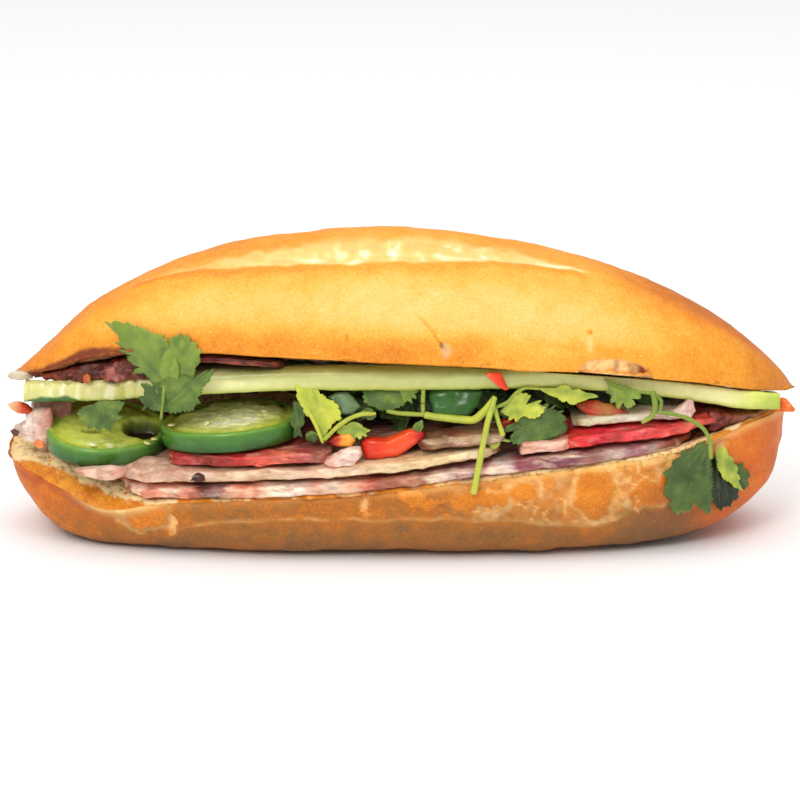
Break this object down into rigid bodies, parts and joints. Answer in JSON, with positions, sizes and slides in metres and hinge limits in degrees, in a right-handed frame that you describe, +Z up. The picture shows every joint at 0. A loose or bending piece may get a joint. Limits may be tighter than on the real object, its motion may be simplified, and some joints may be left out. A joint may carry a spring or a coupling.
{
  "type": "banh mi sandwich",
  "caption": "Split crusty roll opened along the front and filled with sliced ham and roast pork, jalapeno, chilli, coriander and a cucumber spear.",
  "frame": {"origin": "middle of the footprint, on the surface the sandwich rests on", "axes": "+X along the roll to the right-hand tip, -Y towards the open front, +Z up"},
  "size_m": [0.2106, 0.075, 0.0816],
  "materials": {
    "crust": "baked wheat crust, matt to satin",
    "marbled_ham": "moist cured meat",
    "pale_ham": "moist steamed pork roll",
    "roast_pork": "red glazed roast pork",
    "pate": "coarse liver spread",
    "cucumber": "wet cut flesh",
    "jalapeno": "waxy pepper skin and wet flesh",
    "chilli": "glossy fruit skin",
    "carrot": "pickled root",
    "coriander": "fresh leaf"
  },
  "bodies": {
    "root": {"bread_bottom": "crust", "bread_top": "crust", "ham_lower": "marbled_ham", "ham_pale": "pale_ham", "ham_left_fold": "pale_ham", "ham_left_end": "pale_ham", "ham_folded_middle": "pale_ham", "pork_middle": "pale_ham", "pork_fat_end": "pale_ham", "ham_white_right": "pale_ham", "pork_brown": "pate", "roast_left": "roast_pork", "roast_right": "roast_pork", "pate_right": "pate", "pate_strip_top": "pate", "cucumber": "cucumber", "jalapeno_left": "jalapeno", "jalapeno_middle": "jalapeno", "jalapeno_right": "jalapeno", "chilli_front": "chilli", "chilli_middle": "chilli", "chilli_right": "chilli", "chilli_tip": "chilli", "carrot_front": "carrot", "carrot_left_end": "carrot", "carrot_right_end": "carrot", "radish_left_end": "pale_ham", "herb_heap": "coriander", "herb_spray_left": "coriander", "herb_spray_right": "coriander"}
  },
  "joints": []
}
